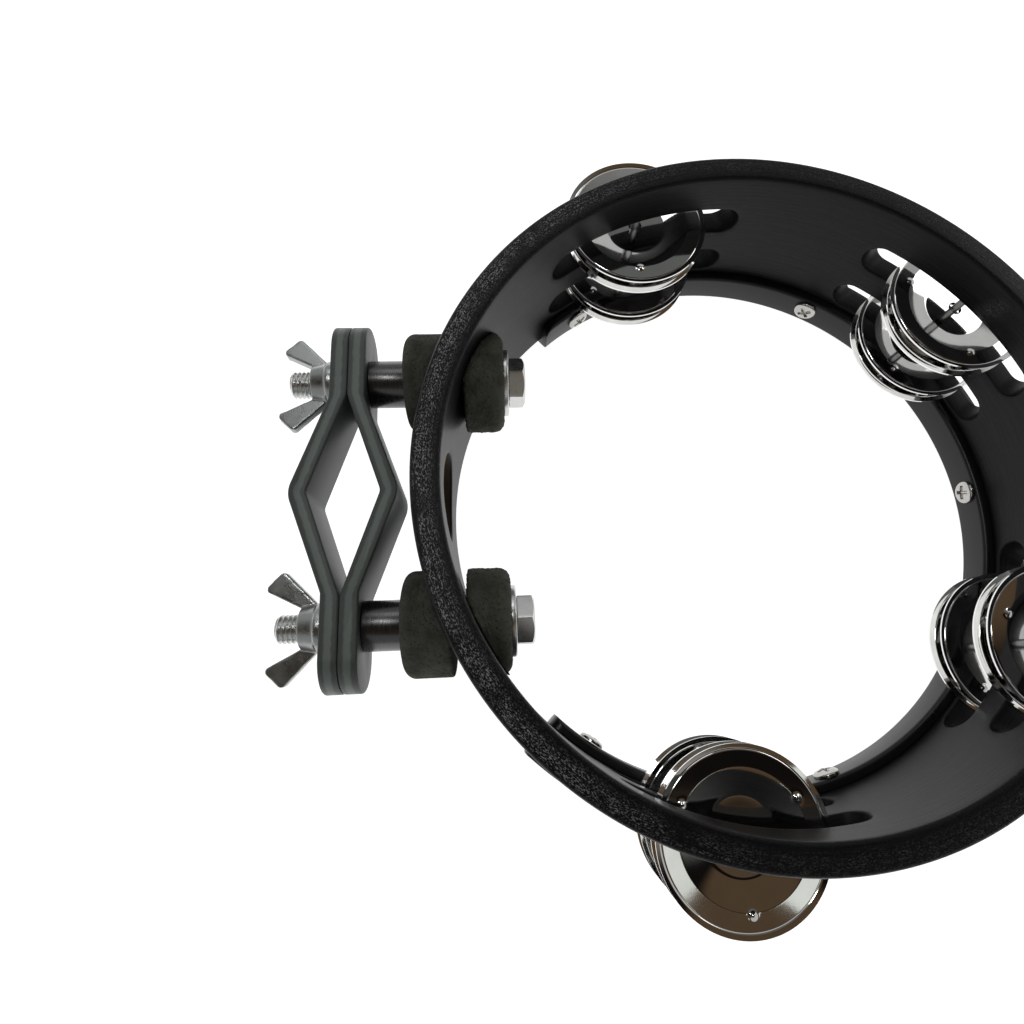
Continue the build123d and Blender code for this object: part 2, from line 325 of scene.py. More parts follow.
def ring_grain(tree, along, across, detail=3.0):
    """Noise drawn out along the ring without a seam: along and across are fibre sizes."""
    centred = place(tree, tuple(-c for c in RING_AXIS))
    flat = vector_calc(tree, "MULTIPLY", centred, (1, 1, 0))
    outwards = vector_calc(tree, "NORMALIZE", flat)
    radius = node(tree, "ShaderNodeVectorMath", {0: flat}, operation="LENGTH").outputs["Value"]
    height = node(tree, "ShaderNodeSeparateXYZ", {0: centred}).outputs[2]
    around = node(tree, "ShaderNodeVectorMath", {0: outwards, "Scale": RING_MID / along}, operation="SCALE")
    lift = node(tree, "ShaderNodeCombineXYZ", {2: times(tree, height, 1 / across)}).outputs[0]
    vector = vector_calc(tree, "ADD", around.outputs[0], lift)
    fibre = grain(tree, vector, 1.0, detail, w=times(tree, radius, 1 / across))
    return fibre, radius, height, centred


# ---------------------------------------------------------------- finishes
def wood_finish(sizes, colours):
    """Black-stained plywood: streaked walls, a worn, flecked edge, raw wood in the thumb hole. The pale
    edge flecks are partly worn fibres and partly painted glints, fading away from the clamp side as painted
    sheen from the side light.
    """
    material, tree, shader = new_finish("stained_plywood", specular=0.15)
    wall, radius, height, centred = ring_grain(tree, 14 * MM, 0.45 * MM, 4.0)
    fleck, *_ = ring_grain(tree, 0.55 * MM, 0.24 * MM, 2.0)
    streak, *_ = ring_grain(tree, 22 * MM, 0.5 * MM, 2.0)
    patch = grain(tree, place(tree), 9 * MM, 2.0)
    edge = between(tree, height, SHELL_HIGH - 1.1 * MM, SHELL_HIGH - 0.3 * MM)
    parts = node(tree, "ShaderNodeSeparateXYZ", {0: centred}).outputs
    # painted sheen, partly handling wear: the flecks are strongest on the clamp side, where the side light
    # falls on the edge
    clamp_side_sheen_and_wear = between(tree, times(tree, parts[0], -1.0), 10 * MM, 85 * MM)
    inner_side = between(tree, radius, RING_INNER + 1.2 * MM, RING_INNER + 4.2 * MM)
    outer_side = between(tree, radius, RING_OUTER - 1.6 * MM, RING_OUTER - 0.5 * MM)
    ridge = times(tree, inner_side, inverse(tree, outer_side))
    # flecks kept to the flat top and faded away from the clamp side: painted sheen, partly wear
    rubbed = times(tree, calc(tree, "MULTIPLY_ADD", clamp_side_sheen_and_wear, 0.85, 0.15),
                   calc(tree, "MULTIPLY_ADD", ridge, 0.9, 0.1))
    # pale flecks: partly worn fibres, partly painted glints
    speckled = times(tree, between(tree, fleck, 0.50, 0.62), between(tree, patch, 0.22, 0.50))
    worn = times(tree, times(tree, speckled, between(tree, streak, 0.30, 0.55)), edge)
    worn = times(tree, worn, rubbed)
    plies = times(tree, radius, 2 * math.pi / (1.35 * MM))
    ply = between(tree, calc(tree, "SINE", plies), 0.55, 1.0)
    walls = mixed(tree, between(tree, wall, 0.35, 0.70), colour(colours.wood, 0.75),
                  colour(colours.wood, 1.9))
    edged = mixed(tree, times(tree, edge, 0.6), walls, colour(colours.wood, 0.7))
    ply_line = times(tree, times(tree, ply, edge), 0.55)
    lined = mixed(tree, ply_line, edged, colour(colours.wood, 0.5))
    flecked = mixed(tree, worn, lined, colour(colours.fleck))
    off_axis = length_of(tree, parts[1], parts[2])
    rim = sizes.thumb_radius
    near_hole = inverse(tree, between(tree, off_axis, rim + 0.1 * MM, rim + 0.5 * MM))
    past_inner = between(tree, radius, RING_INNER + 0.4 * MM, RING_INNER + 0.9 * MM)
    past_outer = between(tree, radius, RING_OUTER - 0.9 * MM, RING_OUTER - 0.4 * MM)
    in_wall = times(tree, past_inner, inverse(tree, past_outer))
    clamp_side = calc(tree, "LESS_THAN", parts[0], 0.0)
    raw = times(tree, times(tree, near_hole, in_wall), clamp_side)
    final = mixed(tree, times(tree, raw, 0.4), flecked, colour(colours.raw))
    rough = ranged(tree, wall, 0.34, 0.52)
    wire_up(tree, shader, final, minus(tree, rough, times(tree, edge, 0.10)))
    relief = plus(tree, times(tree, wall, 0.6), times(tree, times(tree, fleck, edge), 1.2))
    add_bump(tree, shader, relief, 0.75, 0.14 * MM)
    return material


def guard_finish(colours):
    """Moulded black plastic with a faint skin and handling smears."""
    material, tree, shader = new_finish("moulded_plastic", specular=0.30)
    skin = grain(tree, place(tree), 0.5 * MM, 2.0)
    smear = grain(tree, place(tree), 12 * MM, 3.0)
    smeared = mixed(tree, smear, colour(colours.guard, 0.8), colour(colours.guard, 2.0))
    wire_up(tree, shader, smeared, ranged(tree, smear, 0.22, 0.38))
    add_bump(tree, shader, skin, 0.12, 0.05 * MM)
    return material


def plate_finish(sizes, colours):
    """Painted steel plate whose sheared edges carry a painted highlight: a lighter band along the middle of
    each edge, between two bands of painted shade towards the faces.
    """
    material, tree, shader = new_finish("painted_plate", metallic=0.15)
    parts = node(tree, "ShaderNodeSeparateXYZ", {0: place(tree)}).outputs
    half_width = spread("clamp_plate_inner").z / 2
    half_length = spread("clamp_plate_inner").y / 2
    share = calc(tree, "DIVIDE", calc(tree, "ABSOLUTE", parts[1]), sizes.vee_half)
    vee = times(tree, calc(tree, "MAXIMUM", inverse(tree, share), 0.0), sizes.vee_depth)
    middle_of_sheet = plus(tree, vee, sizes.plate_thickness / 2)
    depth = minus(tree, calc(tree, "ABSOLUTE", parts[0]), middle_of_sheet)
    off_middle = calc(tree, "ABSOLUTE", depth)
    past_straight = minus(tree, calc(tree, "ABSOLUTE", parts[1]), half_length - half_width)
    end = calc(tree, "MAXIMUM", past_straight, 0.0)
    outer = length_of(tree, end, parts[2])
    on_edge = between(tree, outer, half_width - 0.5 * MM, half_width - 0.1 * MM)
    wander = grain(tree, place(tree), 2.5 * MM, 3.0)
    shift = times(tree, minus(tree, wander, 0.5), 0.9 * MM)
    band = inverse(tree, between(tree, plus(tree, off_middle, shift), 0.6 * MM, 1.3 * MM))
    speck = grain(tree, place(tree), 0.35 * MM, 2.0)
    base = mixed(tree, between(tree, speck, 0.35, 0.75), colour(colours.plate, 0.8),
                 colour(colours.plate, 1.25))
    # painted shade: the edges darkened towards the faces
    dark = mixed(tree, times(tree, on_edge, 0.5), base, colour(colours.plate, 0.8))
    # painted highlight along the middle of each edge
    edge_highlight = times(tree, times(tree, on_edge, band), 0.8)
    light = mixed(tree, edge_highlight, dark, colour(colours.plate, 2.3))
    wire_up(tree, shader, light, ranged(tree, speck, 0.38, 0.55))
    add_bump(tree, shader, speck, 0.18, 0.05 * MM)
    return material


def foam_finish(sizes, colours):
    """Closed-cell foam: a dull skin whose pores are painted dark as shade in their hollows."""
    material, tree, shader = new_finish("porous_foam", roughness=0.95, specular=0.2)
    cells = node(tree, "ShaderNodeTexVoronoi", {"Vector": place(tree), "Scale": 1 / sizes.foam_pore})
    fine = grain(tree, place(tree), 0.3 * MM, 3.0)
    pore = inverse(tree, between(tree, cells.outputs["Distance"], 0.10, 0.34))
    base = mixed(tree, fine, colour(colours.foam, 0.65), colour(colours.foam, 1.45))
    # painted shade: the pores darkened as hollows
    pores_in_painted_shade = mixed(tree, times(tree, pore, 0.8), base, colour(colours.foam, 0.18))
    worn = between(tree, grain(tree, place(tree), 5 * MM, 3.0), 0.35, 0.7)
    rubbed = mixed(tree, worn, pores_in_painted_shade, colour(colours.foam, 0.6))
    tree.links.new(rubbed, shader.inputs["Base Color"])
    relief = minus(tree, fine, pore)
    add_bump(tree, shader, relief, 0.5, 0.15 * MM)
    return material


def tube_finish(colours):
    """Gloss black tube with fine turning lines."""
    material, tree, shader = new_finish("gloss_tube", specular=1.0)
    drawn_out = vector_calc(tree, "MULTIPLY", place(tree), (1, 0.05, 0.05))
    line = grain(tree, drawn_out, 0.25 * MM, 2.0)
    turned = mixed(tree, line, colour(colours.tube, 0.7), colour(colours.tube, 1.8))
    wire_up(tree, shader, turned, ranged(tree, line, 0.17, 0.36))
    add_bump(tree, shader, line, 0.15, 0.03 * MM)
    return material


def metal_finish(name, base, size, low, high, bump):
    """Bare or plated metal whose shine varies over patches of the given size."""
    material, tree, shader = new_finish(name, metallic=1.0)
    patch = grain(tree, place(tree), size, 3.0)
    fine = grain(tree, place(tree), size / 9, 2.0)
    toned = mixed(tree, patch, colour(base, 0.82), colour(base, 1.12))
    wire_up(tree, shader, toned, ranged(tree, patch, low, high))
    add_bump(tree, shader, fine, bump, 0.06 * MM)
    return material


# ---------------------------------------------------------------- mesh helpers
def rounded(points, radii, steps=5):
    """A polygon's points with each corner made an arc of its radius."""
    out = []
    count = len(points)
    for i, radius in enumerate(radii):
        here = Vector(points[i])
        back = Vector(points[i - 1]) - here
        ahead = Vector(points[(i + 1) % count]) - here
        if radius <= 0:
            out.append(tuple(here))
            continue
        half = back.angle(ahead) / 2
        reach = min(radius / math.tan(half), 0.49 * back.length, 0.49 * ahead.length)
        radius = reach * math.tan(half)
        start = here + back.normalized() * reach
        stop = here + ahead.normalized() * reach
        hub = here + (back.normalized() + ahead.normalized()).normalized() * radius / math.sin(half)
        for k in range(steps + 1):
            arm = (start - hub).slerp(stop - hub, k / steps).normalized() * radius
            out.append(tuple(hub + arm))
    return out


def polar(radius, turn, height=0.0):
    return Vector((radius * math.cos(turn), radius * math.sin(turn), height))


def even_turns(count):
    return [2 * math.pi * k / count for k in range(count)]


def in_scene(name, data):
    piece = bpy.data.objects.new(name, data)
    bpy.context.scene.collection.objects.link(piece)
    return piece


def write_back(work, mesh):
    work.to_mesh(mesh)
    work.free()


def close_up(mesh, distance):
    """Joins points closer than the distance and turns the faces outwards."""
    work = bmesh.new()
    work.from_mesh(mesh)
    bmesh.ops.remove_doubles(work, verts=work.verts, dist=distance)
    bmesh.ops.recalc_face_normals(work, faces=work.faces)
    write_back(work, mesh)


def pulled(outline, vector):
    """A closed outline's face drawn out along a vector, still to be written to a mesh."""
    work = bmesh.new()
    face = work.faces.new([work.verts.new(point) for point in outline])
    made = bmesh.ops.extrude_face_region(work, geom=[face])
    moved = [g for g in made["geom"] if isinstance(g, bmesh.types.BMVert)]
    bmesh.ops.translate(work, verts=moved, vec=vector)
    return work


def add_piece(name, points, faces, material, node_name, sharp_deg):
    """A finished piece: its mesh in place, smooth but for sharp corners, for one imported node."""
    mesh = bpy.data.meshes.new(name)
    mesh.from_pydata([tuple(p) for p in points], [], faces)
    work = bmesh.new()
    work.from_mesh(mesh)
    bmesh.ops.remove_doubles(work, verts=work.verts, dist=SAME_POINT)
    bmesh.ops.dissolve_degenerate(work, edges=work.edges, dist=NO_LENGTH)
    bmesh.ops.recalc_face_normals(work, faces=work.faces)
    write_back(work, mesh)
    settle(in_scene(name, mesh), material, node_name, sharp_deg)


def settle(piece, material, node_name, sharp_deg):
    mesh = piece.data
    mesh.materials.clear()
    mesh.materials.append(material)
    mesh.shade_smooth()
    mesh.set_sharp_from_angle(angle=math.radians(sharp_deg))
    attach(piece, body_of(node_name))
    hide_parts(node_name)


def grid_faces(rows, columns, wrap_rows=False, wrap_columns=False):
    faces = []
    for i in range(rows if wrap_rows else rows - 1):
        for j in range(columns if wrap_columns else columns - 1):
            a = i * columns + j
            b = i * columns + (j + 1) % columns
            c = ((i + 1) % rows) * columns + (j + 1) % columns
            d = ((i + 1) % rows) * columns + j
            faces.append((a, b, c, d))
    return faces


def lathe(profile, segments, to_place=Matrix()):
    """A closed section (radius, height) turned about Z, then put in its place."""
    points = [to_place @ polar(radius, turn, height)
              for turn in even_turns(segments) for radius, height in profile]
    return points, grid_faces(segments, len(profile), wrap_rows=True, wrap_columns=True)


def along_x(x, y):
    """Takes +Z to +X, with the start at x on the bolt line y."""
    return Matrix.Translation((x, y, 0)) @ Matrix.Rotation(math.pi / 2, 4, "Y")


def body_of(node_name):
    for body, members in frame["record"]["behaviour"]["bodies"].items():
        if node_name in members:
            return body
    raise ValueError(f"no body holds {node_name}")


# ---------------------------------------------------------------- the ring
def on_wall(base_angle, sideways, height, radius):
    """A point cut square through the wall at a station, on the cylinder of a radius."""
    turn = base_angle + math.asin(sideways / radius)
    return turn, height


def slot_outline(sizes, centre_z, grow):
    half = sizes.slot_height / 2 + grow
    straight = sizes.slot_length / 2 - sizes.slot_height / 2
    points = []
    for side in (1, -1):
        for k in range(17):
            turn = side * (math.pi / 2 - math.pi * k / 16)
            reach = side * straight + half * abs(math.cos(turn)) * side
            points.append((reach, centre_z + half * math.sin(turn)))
        flat = [(side * straight * (1 - k / 12), centre_z - side * half) for k in range(1, 24)]
        points.extend(flat)
    return points


def round_outline(centre_y, radius, grow):
    return [(-centre_y + (radius + grow) * math.cos(t), (radius + grow) * math.sin(t))
            for t in even_turns(64)]


def wall_openings(sizes):
    """Every opening: the angle that it is cut at, and its outline for a growth."""
    openings = []
    for number in STATIONS:
        for row in ROWS:
            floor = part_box(f"jingle_{number}_{row}_bottom")[0].z - sizes.seat_gap
            centre = floor + sizes.slot_height / 2
            openings.append((station_angle(number), lambda grow, z=centre: slot_outline(sizes, z, grow)))
    openings.append((math.pi, lambda grow: round_outline(0, sizes.thumb_radius, grow)))
    for y in BOLT_Y.values():
        openings.append((math.pi, lambda grow, y=y: round_outline(y, sizes.bolt_hole, grow)))
    return openings


def inside(point, outline):
    """Whether a point lies in a closed outline."""
    x, y = point
    found = False
    for (x1, y1), (x2, y2) in zip(outline, outline[1:] + outline[:1]):
        if (y1 > y) != (y2 > y) and x < (x2 - x1) * (y - y1) / (y2 - y1) + x1:
            found = not found
    return found


def wall_surface(radius, low, high, outlines):
    """One cylindrical wall with its openings, as points in space and triangles."""
    columns = RING_COLUMNS
    step = 2 * math.pi * radius / columns
    rows = max(2, int((high - low) / step))
    loops = []
    for base, outline in outlines:
        loop = [on_wall(base, s, z, radius) for s, z in outline]
        loops.append([((t % (2 * math.pi)) * radius, z) for t, z in loop])
    flat = []
    for i in range(columns + 1):
        for j in range(rows + 1):
            point = (2 * math.pi * radius * i / columns, low + (high - low) * j / rows)
            near = any(
                min(p[0] for p in loop) - step < point[0] < max(p[0] for p in loop) + step
                and (inside(point, loop) or min(math.dist(point, p) for p in loop) < 0.45 * step)
                for loop in loops
            )
            if not near:
                flat.append(point)
    edges = []
    for loop in loops:
        start = len(flat)
        flat.extend(loop)
        edges.extend((start + k, start + (k + 1) % len(loop)) for k in range(len(loop)))
    made, _, triangles, *_ = delaunay_2d_cdt([Vector(p) for p in flat], edges, [], 0, 1e-9)
    kept = []
    for triangle in triangles:
        centre = sum((made[k] for k in triangle), Vector((0, 0))) / 3
        if not any(inside(centre, loop) for loop in loops):
            kept.append(tuple(triangle))
    return [RING_AXIS + polar(radius, point.x / radius, point.y) for point in made], kept


def make_shell(sizes, material):
    chamfer = sizes.slot_edge
    openings = wall_openings(sizes)
    points, faces = [], []

    def take(more_points, more_faces):
        start = len(points)
        points.extend(more_points)
        faces.extend(tuple(start + k for k in face) for face in more_faces)

    high = SHELL_HIGH - sizes.edge_round
    for radius in (RING_INNER, RING_OUTER):
        outlines = [(base, outline(chamfer)) for base, outline in openings]
        take(*wall_surface(radius, SHELL_LOW, high, outlines))
    for base, outline in openings:
        rings = []
        for k in range(4):
            turn = math.pi / 2 * k / 3
            rings.append((RING_INNER + chamfer * (1 - math.cos(turn)), chamfer * (1 - math.sin(turn))))
        rings += [(RING_INNER + RING_OUTER - radius, grow) for radius, grow in reversed(rings)]
        tunnel = []
        for radius, grow in rings:
            for sideways, height in outline(grow):
                turn, z = on_wall(base, sideways, height, radius)
                tunnel.append(RING_AXIS + polar(radius, turn, z))
        take(tunnel, grid_faces(len(rings), len(tunnel) // len(rings), wrap_columns=True))
    for z, depth in ((high, sizes.edge_round), (SHELL_LOW, 0.0)):
        section = [(RING_INNER, z)]
        if depth:
            steps = 6
            for k in range(1, steps + 1):
                turn = math.pi / 2 * k / steps
                section.append((RING_INNER + depth * (1 - math.cos(turn)), z + depth * math.sin(turn)))
            section += [(RING_INNER + RING_OUTER - r, h) for r, h in reversed(section)]
        else:
            section.append((RING_OUTER, z))
        take(*top_band(section))
    mesh = bpy.data.meshes.new("ring_shell")
    mesh.from_pydata([tuple(p) for p in points], [], faces)
    close_up(mesh, SEAM_REACH)
    settle(in_scene("ring_shell", mesh), material, "shell", 50.0)


def top_band(section):
    """A ring of faces across the wall whose two rims match the walls' own points."""
    points = [RING_AXIS + polar(radius, turn, height)
              for turn in even_turns(RING_COLUMNS) for radius, height in section]
    return points, grid_faces(RING_COLUMNS, len(section), wrap_rows=True)


# ---------------------------------------------------------------- jingles
def stepped(line, near, fine, coarse):
    """The line cut into short steps, finer on any run that comes near a radius."""
    out = [line[0]]
    for (r0, h0), (r1, h1) in zip(line, line[1:]):
        close = min(r0, r1) < near + GAUSS_REACH and max(r0, r1) > near - GAUSS_REACH
        count = max(1, math.ceil(math.hypot(r1 - r0, h1 - h0) / (fine if close else coarse)))
        for k in range(1, count + 1):
            out.append((r0 + (r1 - r0) * k / count, h0 + (h1 - h0) * k / count))
    return out


def jingle_section(sizes):
    """The pressed sheet, crown down: crown, coned bowl, band, groove and rolled rim."""
    band = JINGLE_DEPTH - sizes.sheet - sizes.rim_lift
    roll = JINGLE_RADIUS - sizes.rim_roll
    groove = RIM_GROOVE
    line = [(sizes.jingle_hole, 0.0), (sizes.crown, 0.0), (sizes.bowl, band), (roll - groove, band),
            (roll - groove / 2, band - 0.3 * groove), (roll, band)]
    bent = rounded(line, (0, sizes.crown_bend, sizes.bowl_bend, 0, 0, 0), 5)
    low = stepped(bent, sizes.nub_circle, NUB_STEP, SHEET_STEP)
    for k in range(1, 8):
        turn = math.pi / 2 * k / 7
        low.append((roll + sizes.rim_roll * math.sin(turn), band + sizes.rim_lift * math.sin(turn)))
    high = [(r, h + sizes.sheet) for r, h in low]
    return low + list(reversed(high))


def jingle_turns(sizes, nubs):
    """Steps round a disc: even, with closer ones across each nub."""
    turns = even_turns(JINGLE_COLUMNS)
    fine = NUB_COLUMN / sizes.nub_circle
    for nub in nubs:
        turns = [t for t in turns if abs((t - nub + math.pi) % (2 * math.pi) - math.pi) > NUB_REACH * fine]
        turns += [(nub + fine * k) % (2 * math.pi) for k in range(-6, 7)]
    return sorted(turns)


def make_jingles(sizes, material):
    section = jingle_section(sizes)
    for number in STATIONS:
        for row in ROWS:
            for place_in_pair in ("bottom", "top"):
                node_name = f"jingle_{number}_{row}_{place_in_pair}"
                centre = middle(node_name)
                low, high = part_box(node_name)
                flipped = place_in_pair == "bottom"
                nub_height = sizes.nub_height * (LOW_NUB_SHARE if flipped else 1.0)
                first = math.radians(-90 - (45 if row == "lower" else 0) + (60 if flipped else 0))
                nubs = [first + 2 * math.pi * k / 3 for k in range(3)]
                turns = jingle_turns(sizes, nubs)
                points = []
                for turn in turns:
                    for radius, height in section:
                        x, y = radius * math.cos(turn), radius * math.sin(turn)
                        height += nub_height * nub_lift(sizes, x, y, nubs)
                        z = high.z - height if flipped else low.z + height
                        points.append((centre.x + x, centre.y + y, z))
                faces = grid_faces(len(turns), len(section), wrap_rows=True, wrap_columns=True)
                add_piece(f"{node_name}_disc", points, faces, material, node_name, 60.0)


def nub_lift(sizes, x, y, nubs):
    """How far up a nub's dome a place is, from 0 to 1."""
    lift = 0.0
    for nub in nubs:
        away = math.hypot(x - sizes.nub_circle * math.cos(nub), y - sizes.nub_circle * math.sin(nub))
        if away < GAUSS_REACH:
            lift += math.exp(-((away / sizes.nub_width) ** 2))
    return lift


# ---------------------------------------------------------------- rim guard and its screws
def make_guard(sizes, material):
    low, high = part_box("rim_guard")
    outer = high.y - RING_AXIS.y
    inner = RING_INNER + RING_OUTER - outer
    start, stop = guard_angles()
    lip = sizes.guard_lip
    corners = [
        (inner, low.z), (inner, high.z), (inner + lip, high.z), (inner + lip, SHELL_LOW),
        (outer - lip, SHELL_LOW), (outer - lip, high.z), (outer, high.z), (outer, low.z),
    ]
    soft = sizes.guard_round
    tight = GUARD_INNER_ROUND
    section = rounded(corners, (soft, soft, tight, 0, 0, tight, soft, soft), 6)
    points = []
    length = (stop - start) * RING_MID
    for i in range(GUARD_COLUMNS + 1):
        share = i / GUARD_COLUMNS
        eased = 0.5 - 0.5 * math.cos(math.pi * share)
        share = 0.75 * share + 0.25 * eased
        turn = start + (stop - start) * share
        from_end = min(share, 1 - share) * length
        drop = 0.0
        if from_end < sizes.guard_end:
            drop = sizes.guard_end - math.sqrt(sizes.guard_end**2 - (sizes.guard_end - from_end) ** 2)
        for radius, height in section:
            z = min(height, max(high.z - drop, SHELL_LOW))
            points.append(RING_AXIS + polar(radius, turn, z))
    count = len(section)
    faces = grid_faces(GUARD_COLUMNS + 1, count, wrap_columns=True)
    faces.append(tuple(range(count)))
    faces.append(tuple(reversed(range(GUARD_COLUMNS * count, (GUARD_COLUMNS + 1) * count))))
    add_piece("rim_guard_moulding", points, faces, material, "rim_guard", 40.0)


def guard_angles():
    """Where the guard starts and stops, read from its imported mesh."""
    co = np.array([v.co for v in frame["nodes"]["rim_guard"].data.vertices], float)
    turns = np.unwrap(np.sort(np.arctan2(co[:, 1], co[:, 0] - RING_AXIS.x)))
    return float(turns.min()), float(turns.max())


def screw_head_mesh(radius, height):
    """A domed head with a cross recess, top along +Z."""
    rings, segments = 14, 64
    points = []
    for i in range(rings + 1):
        share = i / rings
        for turn in even_turns(segments):
            r = radius * math.sin(share * math.pi / 2)
            x, y = r * math.cos(turn), r * math.sin(turn)
            z = height * (0.35 + 0.65 * math.cos(share * math.pi / 2)) if share < 1 else height * 0.30
            arm = min(abs(x), abs(y)) - CROSS_HALF_WIDTH
            if arm < 0 and max(abs(x), abs(y)) < CROSS_REACH:
                z -= CROSS_DEPTH * min(1.0, -arm / CROSS_SLOPE)
            points.append((x, y, z))
    faces = grid_faces(rings + 1, segments, wrap_columns=True)
    base = len(points)
    points += [tuple(polar(radius, turn)) for turn in even_turns(segments)]
    for k in range(segments):
        faces.append((rings * segments + k, rings * segments + (k + 1) % segments,
                      base + (k + 1) % segments, base + k))
    faces.append(tuple(base + k for k in reversed(range(segments))))
    return points, faces


def make_screws(sizes, material):
    """Each head sits on the guard's lip and faces the ring's axis."""
    co = np.array([v.co for v in frame["nodes"]["guard_screws"].data.vertices], float)
    turns = np.sort(np.arctan2(co[:, 1], co[:, 0] - RING_AXIS.x))
    gaps = np.where(np.diff(turns) > math.radians(8))[0]
    groups = np.split(turns, gaps + 1)
    radii = np.hypot(co[:, 0] - RING_AXIS.x, co[:, 1])
    low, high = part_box("guard_screws")
    head_radius = (high.z - low.z) / 2
    seat = radii.min() + sizes.screw_head
    height = (low.z + high.z) / 2
    head_points, head_faces = screw_head_mesh(head_radius, sizes.screw_head)
    head = bpy.data.meshes.new("screw_head")
    head.from_pydata(head_points, [], head_faces)
    head_object = in_scene("screw_head", head)
    seats = bpy.data.meshes.new("guard_screw_heads")
    angles = [float((g.min() + g.max()) / 2) for g in groups]
    middles = [(RING_AXIS.x + seat * math.cos(a), seat * math.sin(a), height) for a in angles]
    seats.from_pydata(middles, [], [])
    screws = in_scene("guard_screw_heads", seats)
    modifier = screws.modifiers.new("screws", "NODES")
    modifier.node_group = screw_tree(head_object, material)
    bake_modifiers(screws)
    bpy.data.objects.remove(head_object)
    close_up(screws.data, SAME_POINT)
    settle(screws, material, "guard_screws", 30.0)


def screw_tree(head_object, material):
    """Puts a head on each seat point, facing the ring's axis, each turned by its own amount."""
    tree = bpy.data.node_groups.new("screws_on_guard", "GeometryNodeTree")
    tree.interface.new_socket("Geometry", in_out="INPUT", socket_type="NodeSocketGeometry")
    tree.interface.new_socket("Geometry", in_out="OUTPUT", socket_type="NodeSocketGeometry")
    source = node(tree, "NodeGroupInput")
    sink = node(tree, "NodeGroupOutput")
    position = node(tree, "GeometryNodeInputPosition").outputs[0]
    flat = vector_calc(tree, "MULTIPLY", position, (1, 1, 0))
    inwards = vector_calc(tree, "SUBTRACT", tuple(RING_AXIS), flat)
    facing = node(tree, "FunctionNodeAlignRotationToVector", {"Vector": inwards}, axis="Z").outputs[0]
    spin = node(tree, "FunctionNodeRandomValue", {"Seed": 4}, data_type="FLOAT")
    spin.inputs[2].default_value = 0.0
    spin.inputs[3].default_value = math.pi / 2
    turn = node(tree, "FunctionNodeAxisAngleToRotation",
                {"Axis": (0, 0, 1), "Angle": spin.outputs[1]}).outputs[0]
    spun = node(tree, "FunctionNodeRotateRotation", {0: facing, 1: turn}, rotation_space="LOCAL").outputs[0]
    heads = node(tree, "GeometryNodeObjectInfo", {"Object": head_object}).outputs["Geometry"]
    placed = node(tree, "GeometryNodeInstanceOnPoints",
                  {"Points": source.outputs[0], "Instance": heads, "Rotation": spun}).outputs[0]
    real = node(tree, "GeometryNodeRealizeInstances", {0: placed}).outputs[0]
    coated = node(tree, "GeometryNodeSetMaterial", {"Geometry": real, "Material": material}).outputs[0]
    tree.links.new(coated, sink.inputs[0])
    return tree


# ---------------------------------------------------------------- clamp
def plate_outline(sizes, gap):
    half = spread("clamp_plate_inner").y / 2
    thick = sizes.plate_thickness
    lean = math.atan2(sizes.vee_depth, sizes.vee_half)
    shift = thick * math.tan(lean / 2)
    apex = sizes.vee_depth + thick / math.cos(lean)
    far = sizes.vee_half - shift
    corners = [(0, -half), (0, -sizes.vee_half), (sizes.vee_depth, 0), (0, sizes.vee_half), (0, half),
               (thick, half), (thick, far), (apex, 0), (thick, -far), (thick, -half)]
    wide = sizes.vee_bend + thick
    tight = sizes.vee_bend
    radii = (0, wide, tight, wide, 0, 0, tight, wide, tight, 0)
    return [(x + gap, y) for x, y in rounded(corners, radii, 8)]


def make_plates(sizes, material):
    for node_name, side in (("clamp_plate_inner", 1), ("clamp_plate_outer", -1)):
        low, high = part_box(node_name)
        gap = low.x if side > 0 else -high.x
        half_width = (high.z - low.z) / 2
        half_length = (high.y - low.y) / 2
        outline = plate_outline(sizes, gap)
        work = pulled([(side * x, y, -half_width) for x, y in outline], (0, 0, 2 * half_width))
        bmesh.ops.recalc_face_normals(work, faces=work.faces)
        mesh = bpy.data.meshes.new(f"{node_name}_stamping")
        write_back(work, mesh)
        plate = in_scene(mesh.name, mesh)
        tools = [stadium_tool(half_length, half_width)]
        tools += [rod_tool(sizes.bolt_hole, y) for y in BOLT_Y.values()]
        cut(plate, tools[0], "INTERSECT")
        for tool in tools[1:]:
            cut(plate, tool, "DIFFERENCE")
        bevel_edges(plate, PLATE_BEVEL)
        settle(plate, material, node_name, 40.0)


def stadium_tool(half_length, half_width):
    """A rounded-end bar along X that gives the plates their round ends."""
    straight = half_length - half_width
    points = []
    for side in (1, -1):
        for k in range(33):
            turn = math.pi * k / 32
            reach = straight + half_width * math.sin(turn)
            points.append((side * reach, side * half_width * math.cos(turn)))
    return prism(points, TOOL_REACH)


def rod_tool(radius, y):
    return prism([(y + radius * math.cos(t), radius * math.sin(t)) for t in even_turns(64)], TOOL_REACH)


def prism(outline, reach):
    """A bar along X with an outline in Y and Z."""
    work = pulled([(-reach, y, z) for y, z in outline], (2 * reach, 0, 0))
    bmesh.ops.remove_doubles(work, verts=work.verts, dist=SAME_POINT)
    bmesh.ops.recalc_face_normals(work, faces=work.faces)
    mesh = bpy.data.meshes.new("tool")
    write_back(work, mesh)
    return in_scene("tool", mesh)


def bake_modifiers(piece):
    evaluated = piece.evaluated_get(bpy.context.evaluated_depsgraph_get())
    result = bpy.data.meshes.new_from_object(evaluated)
    piece.modifiers.clear()
    piece.data = result
    result.name = piece.name


def cut(piece, tool, operation):
    modifier = piece.modifiers.new("cut", "BOOLEAN")
    modifier.operation = operation
    modifier.object = tool
    modifier.solver = "EXACT"
    bake_modifiers(piece)
    bpy.data.objects.remove(tool)


def bevel_edges(piece, width):
    modifier = piece.modifiers.new("soften", "BEVEL")
    modifier.width = width
    modifier.segments = 3
    modifier.limit_method = "ANGLE"
    modifier.angle_limit = math.radians(50)
    modifier.use_clamp_overlap = True
    bake_modifiers(piece)


